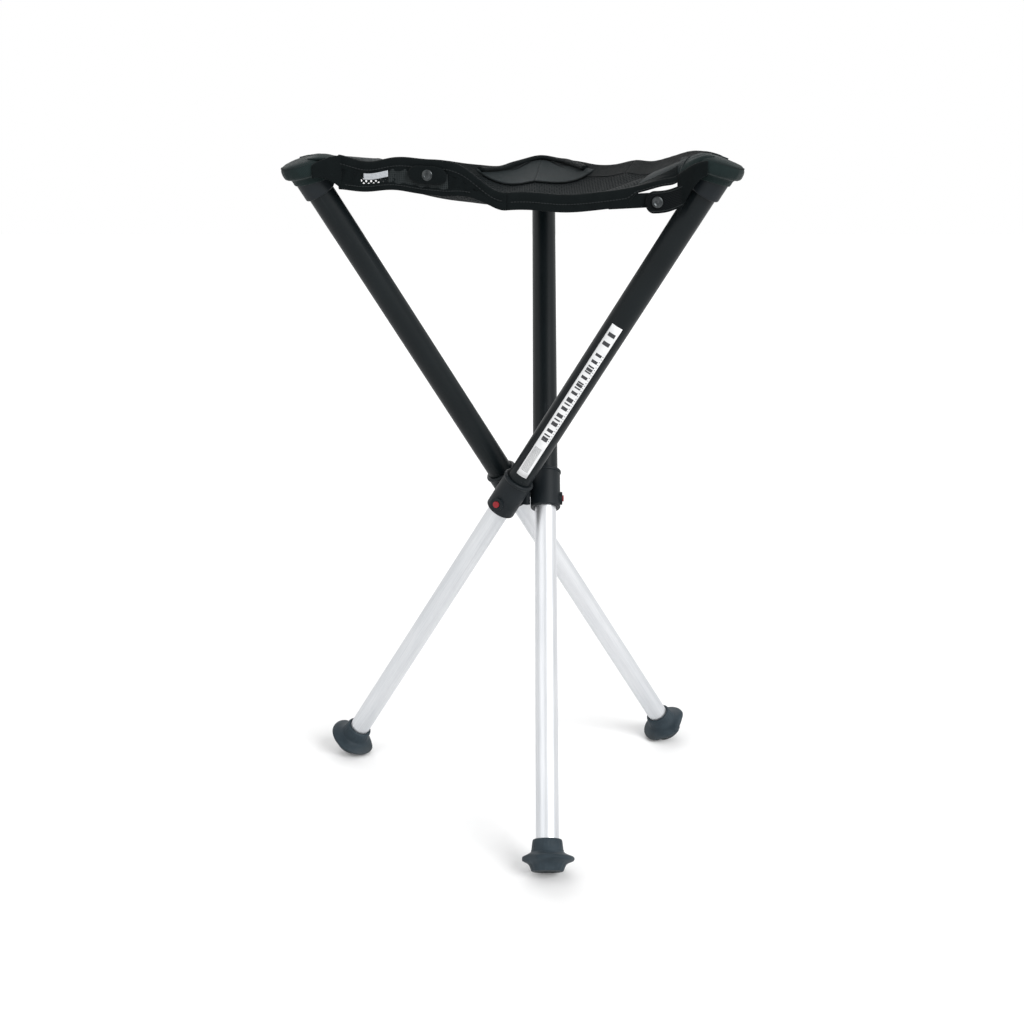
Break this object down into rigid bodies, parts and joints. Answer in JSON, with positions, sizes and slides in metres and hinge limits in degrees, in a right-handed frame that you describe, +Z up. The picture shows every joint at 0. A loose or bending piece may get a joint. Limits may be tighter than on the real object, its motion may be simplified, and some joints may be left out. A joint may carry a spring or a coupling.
{
  "type": "folding tripod stool",
  "caption": "Folding tripod stool with telescopic push-button legs, a central pivot hub and a sling seat.",
  "frame": {"origin": "on the floor, under the middle of the open stool's outline", "axes": "+Z up, -Y towards the front edge of the seat, +X to the right seen from the front"},
  "size_m": [0.4064, 0.4546, 0.6472],
  "materials": {
    "upper_tube": "black satin powder coat",
    "lower_tube": "satin anodised",
    "black_plastic": "moulded, slight texture",
    "foot_rubber": "matte rubber",
    "red_button": "satin moulded",
    "seat_fabric": "woven polyester and mesh",
    "band_fabric": "folded woven binding",
    "hood_fabric": "coated woven polyester",
    "label": "blank printed film",
    "tag": "blank woven tag",
    "steel_fastener": "zinc plated",
    "bush_plastic": "natural nylon"
  },
  "bodies": {
    "hub": {"hub_bottom_half": "black_plastic", "hub_nut": "steel_fastener", "hub_screw": "steel_fastener", "hub_top_half": "black_plastic"},
    "leg_a": {"upper_tube_a": "upper_tube", "joint_sleeve_a": "black_plastic", "guide_bush_a": "bush_plastic", "end_cap_a": "black_plastic", "label_strip": "label"},
    "lower_leg_a": {"lower_tube_a": "lower_tube", "top_bush_a": "bush_plastic", "snap_clip_a": "steel_fastener", "foot_a": "foot_rubber", "foot_plug_a": "bush_plastic"},
    "button_a": {"release_button_a": "red_button"},
    "hood_a": {"corner_hood_a": "hood_fabric"},
    "panel_a_left": {"seat_panel_a_left": "seat_fabric", "edge_band_a_left": "band_fabric", "closure_strap": "band_fabric", "strap_stud": "steel_fastener"},
    "panel_a_right": {"seat_panel_a_right": "seat_fabric", "edge_band_a_right": "band_fabric"},
    "leg_b": {"upper_tube_b": "upper_tube", "joint_sleeve_b": "black_plastic", "guide_bush_b": "bush_plastic", "end_cap_b": "black_plastic"},
    "lower_leg_b": {"lower_tube_b": "lower_tube", "top_bush_b": "bush_plastic", "snap_clip_b": "steel_fastener", "foot_b": "foot_rubber", "foot_plug_b": "bush_plastic"},
    "button_b": {"release_button_b": "red_button"},
    "hood_b": {"corner_hood_b": "hood_fabric"},
    "panel_b_left": {"seat_panel_b_left": "seat_fabric", "edge_band_b_left": "band_fabric"},
    "panel_b_right": {"seat_panel_b_right": "seat_fabric", "edge_band_b_right": "band_fabric"},
    "leg_c": {"upper_tube_c": "upper_tube", "joint_sleeve_c": "black_plastic", "guide_bush_c": "bush_plastic", "end_cap_c": "black_plastic"},
    "lower_leg_c": {"lower_tube_c": "lower_tube", "top_bush_c": "bush_plastic", "snap_clip_c": "steel_fastener", "foot_c": "foot_rubber", "foot_plug_c": "bush_plastic"},
    "button_c": {"release_button_c": "red_button"},
    "hood_c": {"corner_hood_c": "hood_fabric"},
    "panel_c_left": {"seat_panel_c_left": "seat_fabric", "edge_band_c_left": "band_fabric"},
    "panel_c_right": {"seat_panel_c_right": "seat_fabric", "edge_band_c_right": "band_fabric", "sewn_tag": "tag", "stud_tab": "band_fabric", "tab_stud": "steel_fastener"}
  },
  "joints": [
    {"name": "fold_a", "type": "hinge", "parent": "hub", "child": "leg_a", "pos_m": [-0.00014, -0.02388, 0.3194], "axis": [-0.4985, -0.8669, 0], "range_deg": [0, 33.9]},
    {"name": "extend_a", "type": "slide", "parent": "leg_a", "child": "lower_leg_a", "axis": [0.4835, -0.278, 0.83], "range_m": [0, 0.3], "deforming": ["snap_clip_a"]},
    {"name": "button_press_a", "type": "slide", "parent": "leg_a", "child": "button_a", "axis": [0.4985, 0.8669, 0], "range_m": [0, 0.0027], "stiffness_N_per_m": 900, "springref_m": -0.001, "deforming": ["snap_clip_a"]},
    {"name": "hood_turn_a", "type": "hinge", "parent": "leg_a", "child": "hood_a", "pos_m": [-0.00014, -0.02388, 0.3194], "axis": [-0.4835, 0.278, -0.83], "range_deg": [0, 83.44]},
    {"name": "seat_fold_a_left", "type": "hinge", "parent": "hood_a", "child": "panel_a_left", "pos_m": [0.16419, -0.11509, 0.64324], "axis": [-0.2069, -0.9154, 0.3453], "range_deg": [0, 49.7], "deforming": ["seat_panel_a_left", "edge_band_a_left", "closure_strap", "strap_stud"]},
    {"name": "seat_fold_a_right", "type": "hinge", "parent": "hood_a", "child": "panel_a_right", "pos_m": [0.16419, -0.11509, 0.64324], "axis": [-0.9136, -0.1953, -0.3565], "range_deg": [0, 62.11], "deforming": ["seat_panel_a_right", "edge_band_a_right"]},
    {"name": "fold_b", "type": "hinge", "parent": "hub", "child": "leg_b", "pos_m": [0.03583, -0.00303, 0.3194], "axis": [1, 0.0017, 0], "range_deg": [0, 33.9]},
    {"name": "extend_b", "type": "slide", "parent": "leg_b", "child": "lower_leg_b", "axis": [-0.001, 0.5577, 0.83], "range_m": [0, 0.3], "deforming": ["snap_clip_b"]},
    {"name": "button_press_b", "type": "slide", "parent": "leg_b", "child": "button_b", "axis": [-1, -0.0017, 0], "range_m": [0, 0.0027], "stiffness_N_per_m": 900, "springref_m": -0.001, "deforming": ["snap_clip_b"]},
    {"name": "hood_turn_b", "type": "hinge", "parent": "leg_b", "child": "hood_b", "pos_m": [0.03583, -0.00303, 0.3194], "axis": [0.001, -0.5577, -0.83], "range_deg": [0, 83.44]},
    {"name": "seat_fold_b_left", "type": "hinge", "parent": "hood_b", "child": "panel_b_left", "pos_m": [0.03266, 0.18489, 0.64324], "axis": [0.7567, 0.4728, 0.4515], "range_deg": [0, 58.59], "deforming": ["seat_panel_b_left", "edge_band_b_left"]},
    {"name": "seat_fold_b_right", "type": "hinge", "parent": "hood_b", "child": "panel_b_right", "pos_m": [0.03266, 0.18489, 0.64324], "axis": [0.6117, -0.702, -0.3647], "range_deg": [0, 63.16], "deforming": ["seat_panel_b_right", "edge_band_b_right"]},
    {"name": "fold_c", "type": "hinge", "parent": "hub", "child": "leg_c", "pos_m": [-0.00021, 0.01769, 0.3194], "axis": [-0.5015, 0.8652, 0], "range_deg": [0, 33.9]},
    {"name": "extend_c", "type": "slide", "parent": "leg_c", "child": "lower_leg_c", "axis": [-0.4825, -0.2797, 0.83], "range_m": [0, 0.3], "deforming": ["snap_clip_c"]},
    {"name": "button_press_c", "type": "slide", "parent": "leg_c", "child": "button_c", "axis": [0.5015, -0.8652, 0], "range_m": [0, 0.0027], "stiffness_N_per_m": 900, "springref_m": -0.001, "deforming": ["snap_clip_c"]},
    {"name": "hood_turn_c", "type": "hinge", "parent": "leg_c", "child": "hood_c", "pos_m": [-0.00021, 0.01769, 0.3194], "axis": [0.4825, 0.2797, -0.83], "range_deg": [0, 83.44]},
    {"name": "seat_fold_c_left", "type": "hinge", "parent": "hood_c", "child": "panel_c_left", "pos_m": [-0.16136, -0.07901, 0.64324], "axis": [-0.7933, 0.4004, 0.4586], "range_deg": [0, 59.56], "deforming": ["seat_panel_c_left", "edge_band_c_left"]},
    {"name": "seat_fold_c_right", "type": "hinge", "parent": "hood_c", "child": "panel_c_right", "pos_m": [-0.16136, -0.07901, 0.64324], "axis": [0.0957, 0.9656, -0.2418], "range_deg": [0, 52.26], "deforming": ["seat_panel_c_right", "edge_band_c_right", "sewn_tag", "stud_tab", "tab_stud"]}
  ],
  "couplings": [
    {"joint": "hood_turn_a", "follows": "fold_a", "ratio": 2.4611},
    {"joint": "seat_fold_a_left", "follows": "fold_a", "ratio": 1.4658},
    {"joint": "seat_fold_a_right", "follows": "fold_a", "ratio": 1.832},
    {"joint": "hood_turn_b", "follows": "fold_a", "ratio": 2.4611},
    {"joint": "fold_b", "follows": "fold_a", "ratio": 1},
    {"joint": "seat_fold_b_left", "follows": "fold_a", "ratio": 1.7279},
    {"joint": "seat_fold_b_right", "follows": "fold_a", "ratio": 1.8627},
    {"joint": "hood_turn_c", "follows": "fold_a", "ratio": 2.4611},
    {"joint": "fold_c", "follows": "fold_a", "ratio": 1},
    {"joint": "seat_fold_c_left", "follows": "fold_a", "ratio": 1.7567},
    {"joint": "seat_fold_c_right", "follows": "fold_a", "ratio": 1.5413}
  ]
}
